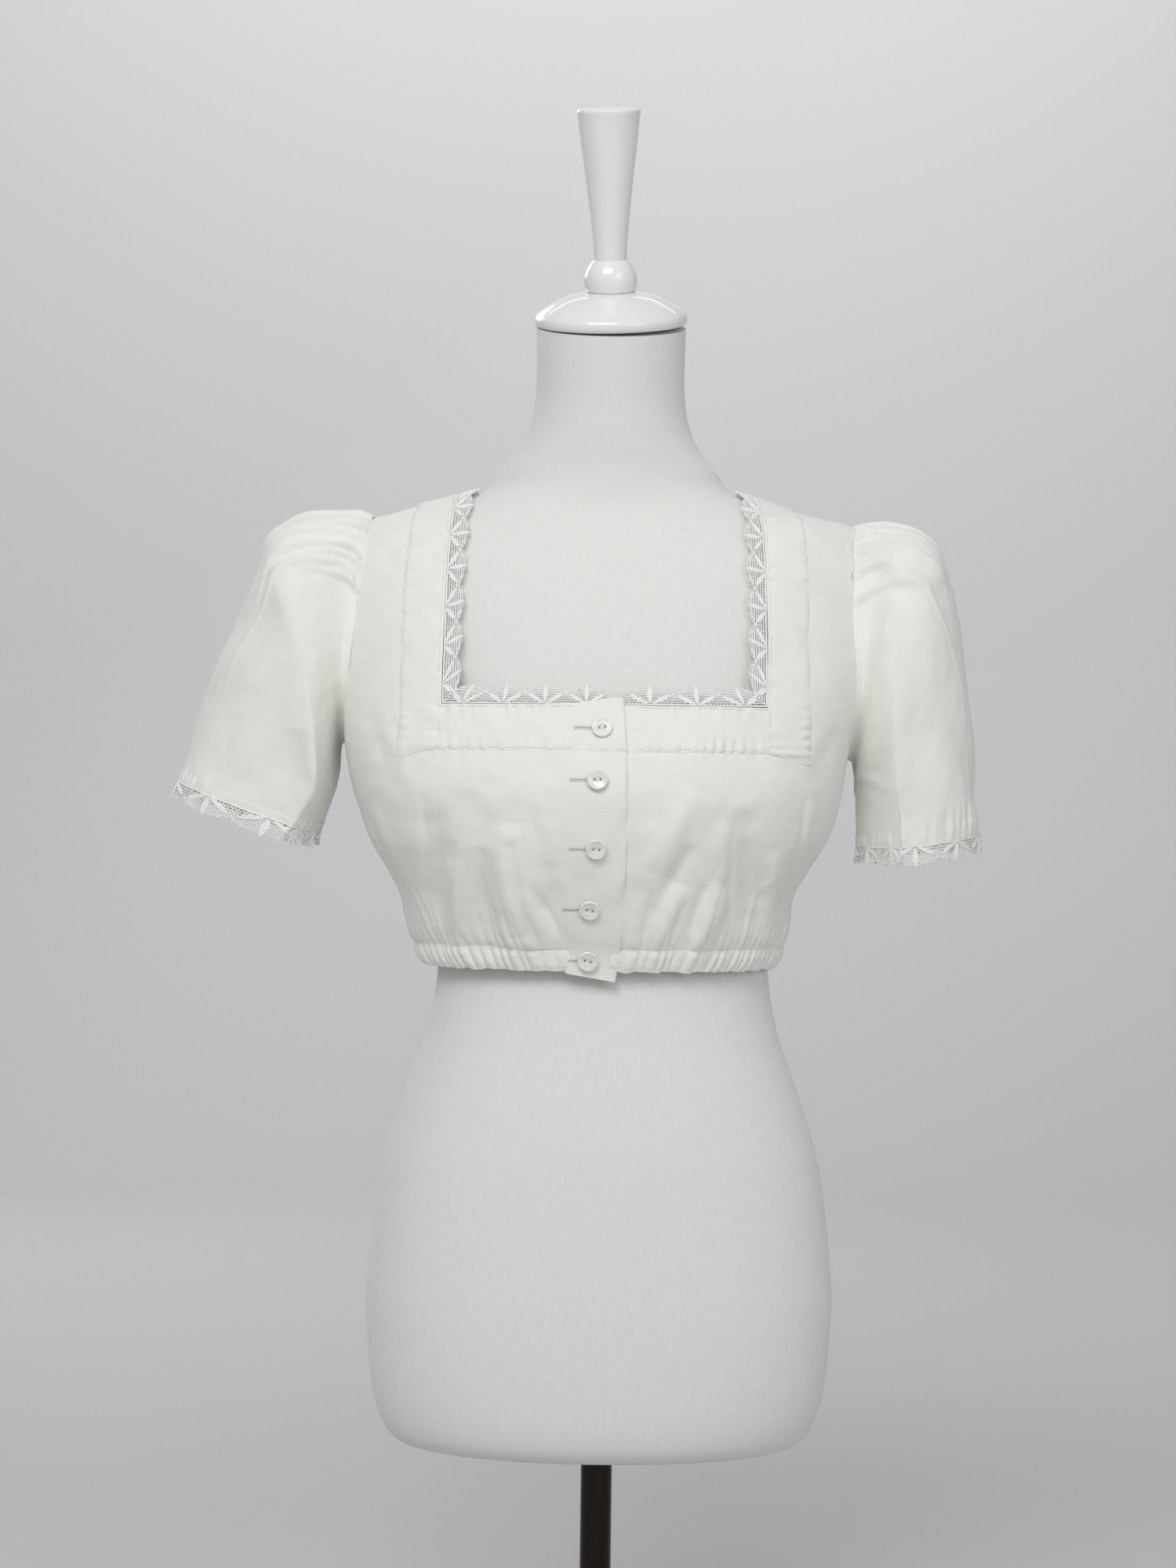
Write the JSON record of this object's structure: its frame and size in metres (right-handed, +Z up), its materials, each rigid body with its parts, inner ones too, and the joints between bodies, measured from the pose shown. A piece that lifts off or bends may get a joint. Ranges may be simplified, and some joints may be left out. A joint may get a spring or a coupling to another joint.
{
  "type": "cropped blouse on a limbless dress form",
  "caption": "Cropped cotton blouse with puffed elbow sleeves, square lace-edged neckline, button placket and gathered elastic hem, worn on a limbless dress form with a round base.",
  "frame": {"origin": "centre of the base plate's underside, on the floor", "axes": "+Z up, front towards -Y, +X to the right of someone who looks at the front"},
  "size_m": [0.5655, 0.3, 1.1299],
  "materials": {
    "cotton": "matte plain-weave cotton, off-white",
    "lace": "raised satin-stitched lace on fine net",
    "jersey": "fine ribbed jersey cover, ivory",
    "lacquer": "white gloss lacquer on turned wood",
    "shell": "pearly shell, polished",
    "steel": "polished chromed steel"
  },
  "bodies": {
    "root": {"front_right": "cotton", "front_left": "cotton", "back": "cotton", "sleeve_right": "cotton", "sleeve_left": "cotton", "neck_band_right": "cotton", "neck_band_left": "cotton", "neck_band_back": "cotton", "placket_right": "cotton", "placket_left": "cotton", "waist_casing_right": "cotton", "waist_casing_left": "cotton", "waist_casing_back": "cotton", "lace_neck_right": "lace", "lace_neck_left": "lace", "lace_neck_back_right": "lace", "lace_neck_back_left": "lace", "lace_cuff_right": "lace", "lace_cuff_left": "lace", "button_1": "shell", "button_2": "shell", "button_3": "shell", "button_4": "shell", "button_5": "shell", "form_torso": "jersey", "neck_cap": "lacquer", "finial": "lacquer", "pole": "steel", "base_plate": "steel"}
  },
  "joints": []
}
